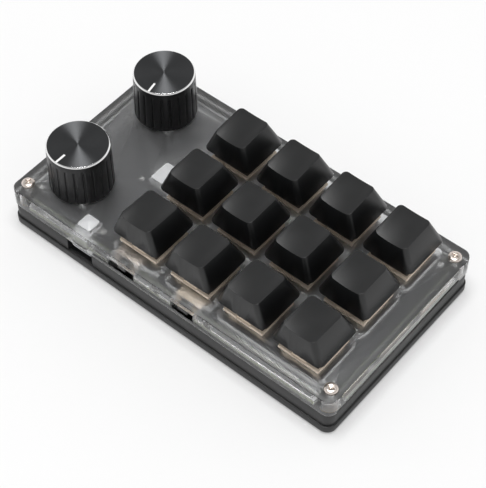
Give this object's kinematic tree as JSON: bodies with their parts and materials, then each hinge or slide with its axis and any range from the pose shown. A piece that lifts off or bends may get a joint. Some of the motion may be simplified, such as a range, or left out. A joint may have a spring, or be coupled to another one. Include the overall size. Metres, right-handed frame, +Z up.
{
  "type": "macro keypad with knobs",
  "caption": "Small desk keypad with sculpted square keys and push-and-turn knobs under a clear frosted cover on a black base, with a plug socket and slide switches in its back edge.",
  "frame": {"origin": "centre of the footprint, on the surface that the feet stand on", "axes": "+X along the keypad towards the knobs, +Y away from the user towards the ports, +Z up"},
  "size_m": [0.1258, 0.07, 0.0332],
  "materials": {
    "frosted_cover": "clear acrylic, frosted on its flat faces, polished edges",
    "black_casing": "fine matt texture",
    "foot_rubber": "matt",
    "rose_steel": "bright, faintly rose",
    "plain_steel": "bright zinc",
    "brass": "turned",
    "board": "solder mask, satin",
    "module_can": "stamped can",
    "battery_foil": "soft foil",
    "led_white": "moulded chip",
    "light_pipe": "milky clear",
    "socket_steel": "bright stamped shell",
    "black_moulding": "satin",
    "slide_grey": "stamped",
    "slide_cream": "moulded",
    "switch_cream": "satin moulding",
    "switch_smoke": "smoky moulding",
    "contact_gold": "plated",
    "spring_steel": "drawn wire",
    "stem_brown": "satin moulding",
    "keycap_black": "fine satin texture",
    "encoder_can": "die cast and stamped",
    "shaft_steel": "turned",
    "knob_black": "black anodised, bright bevelled ring, spun face",
    "insert_black": "moulded"
  },
  "bodies": {
    "base": {"bottom_plate": "black_casing", "frame": "black_casing", "cover": "frosted_cover", "rubber_feet": "foot_rubber", "cover_screws": "rose_steel", "plate_screws": "plain_steel", "threaded_inserts": "brass", "circuit_board": "board", "controller_module": "module_can", "battery": "battery_foil", "indicator_leds": "led_white", "small_light_pipe": "light_pipe", "large_light_pipe": "light_pipe", "socket_shell": "socket_steel", "socket_tongue": "black_moulding", "power_switch_body": "slide_grey", "mode_switch_body": "slide_cream", "lower_housings": "switch_cream", "upper_housings": "switch_smoke", "switch_contacts": "contact_gold", "springs_row_1": "spring_steel", "springs_row_2": "spring_steel", "springs_row_3": "spring_steel", "encoder_body_1": "encoder_can", "encoder_body_2": "encoder_can"},
    "key_1_1": {"stem_1_1": "stem_brown", "keycap_1_1": "keycap_black"},
    "key_1_2": {"stem_1_2": "stem_brown", "keycap_1_2": "keycap_black"},
    "key_1_3": {"stem_1_3": "stem_brown", "keycap_1_3": "keycap_black"},
    "key_1_4": {"stem_1_4": "stem_brown", "keycap_1_4": "keycap_black"},
    "key_2_1": {"stem_2_1": "stem_brown", "keycap_2_1": "keycap_black"},
    "key_2_2": {"stem_2_2": "stem_brown", "keycap_2_2": "keycap_black"},
    "key_2_3": {"stem_2_3": "stem_brown", "keycap_2_3": "keycap_black"},
    "key_2_4": {"stem_2_4": "stem_brown", "keycap_2_4": "keycap_black"},
    "key_3_1": {"stem_3_1": "stem_brown", "keycap_3_1": "keycap_black"},
    "key_3_2": {"stem_3_2": "stem_brown", "keycap_3_2": "keycap_black"},
    "key_3_3": {"stem_3_3": "stem_brown", "keycap_3_3": "keycap_black"},
    "key_3_4": {"stem_3_4": "stem_brown", "keycap_3_4": "keycap_black"},
    "knob_push_1": {"encoder_plunger_1": "black_moulding"},
    "knob_turn_1": {"encoder_shaft_1": "shaft_steel", "knob_insert_1": "insert_black", "knob_1": "knob_black"},
    "knob_push_2": {"encoder_plunger_2": "black_moulding"},
    "knob_turn_2": {"encoder_shaft_2": "shaft_steel", "knob_insert_2": "insert_black", "knob_2": "knob_black"},
    "power_slide": {"power_slider": "black_moulding"},
    "mode_slide": {"mode_slider": "black_moulding"}
  },
  "joints": [
    {"name": "press_key_1_1", "type": "slide", "parent": "base", "child": "key_1_1", "axis": [0, 0, -1], "range_m": [0, 0.004], "stiffness_N_per_m": 72, "springref_m": -0.0042, "deforming": ["springs_row_1"]},
    {"name": "press_key_1_2", "type": "slide", "parent": "base", "child": "key_1_2", "axis": [0, 0, -1], "range_m": [0, 0.004], "stiffness_N_per_m": 72, "springref_m": -0.0042, "deforming": ["springs_row_1"]},
    {"name": "press_key_1_3", "type": "slide", "parent": "base", "child": "key_1_3", "axis": [0, 0, -1], "range_m": [0, 0.004], "stiffness_N_per_m": 72, "springref_m": -0.0042, "deforming": ["springs_row_1"]},
    {"name": "press_key_1_4", "type": "slide", "parent": "base", "child": "key_1_4", "axis": [0, 0, -1], "range_m": [0, 0.004], "stiffness_N_per_m": 72, "springref_m": -0.0042, "deforming": ["springs_row_1"]},
    {"name": "press_key_2_1", "type": "slide", "parent": "base", "child": "key_2_1", "axis": [0, 0, -1], "range_m": [0, 0.004], "stiffness_N_per_m": 72, "springref_m": -0.0042, "deforming": ["springs_row_2"]},
    {"name": "press_key_2_2", "type": "slide", "parent": "base", "child": "key_2_2", "axis": [0, 0, -1], "range_m": [0, 0.004], "stiffness_N_per_m": 72, "springref_m": -0.0042, "deforming": ["springs_row_2"]},
    {"name": "press_key_2_3", "type": "slide", "parent": "base", "child": "key_2_3", "axis": [0, 0, -1], "range_m": [0, 0.004], "stiffness_N_per_m": 72, "springref_m": -0.0042, "deforming": ["springs_row_2"]},
    {"name": "press_key_2_4", "type": "slide", "parent": "base", "child": "key_2_4", "axis": [0, 0, -1], "range_m": [0, 0.004], "stiffness_N_per_m": 72, "springref_m": -0.0042, "deforming": ["springs_row_2"]},
    {"name": "press_key_3_1", "type": "slide", "parent": "base", "child": "key_3_1", "axis": [0, 0, -1], "range_m": [0, 0.004], "stiffness_N_per_m": 72, "springref_m": -0.0042, "deforming": ["springs_row_3"]},
    {"name": "press_key_3_2", "type": "slide", "parent": "base", "child": "key_3_2", "axis": [0, 0, -1], "range_m": [0, 0.004], "stiffness_N_per_m": 72, "springref_m": -0.0042, "deforming": ["springs_row_3"]},
    {"name": "press_key_3_3", "type": "slide", "parent": "base", "child": "key_3_3", "axis": [0, 0, -1], "range_m": [0, 0.004], "stiffness_N_per_m": 72, "springref_m": -0.0042, "deforming": ["springs_row_3"]},
    {"name": "press_key_3_4", "type": "slide", "parent": "base", "child": "key_3_4", "axis": [0, 0, -1], "range_m": [0, 0.004], "stiffness_N_per_m": 72, "springref_m": -0.0042, "deforming": ["springs_row_3"]},
    {"name": "push_knob_1", "type": "slide", "parent": "base", "child": "knob_push_1", "axis": [0, 0, -1], "range_m": [0, 0.0005], "stiffness_N_per_m": 4000, "springref_m": -0.0002},
    {"name": "turn_knob_1", "type": "hinge", "parent": "knob_push_1", "child": "knob_turn_1", "pos_m": [0.047, 0.0187, 0.025], "axis": [0, 0, -1], "continuous": true},
    {"name": "push_knob_2", "type": "slide", "parent": "base", "child": "knob_push_2", "axis": [0, 0, -1], "range_m": [0, 0.0005], "stiffness_N_per_m": 4000, "springref_m": -0.0002},
    {"name": "turn_knob_2", "type": "hinge", "parent": "knob_push_2", "child": "knob_turn_2", "pos_m": [0.047, -0.0205, 0.025], "axis": [0, 0, -1], "continuous": true},
    {"name": "slide_power_switch", "type": "slide", "parent": "base", "child": "power_slide", "axis": [1, 0, 0], "range_m": [-0.0015, 0.0015]},
    {"name": "slide_mode_switch", "type": "slide", "parent": "base", "child": "mode_slide", "axis": [1, 0, 0], "range_m": [-0.0015, 0.0015]}
  ]
}
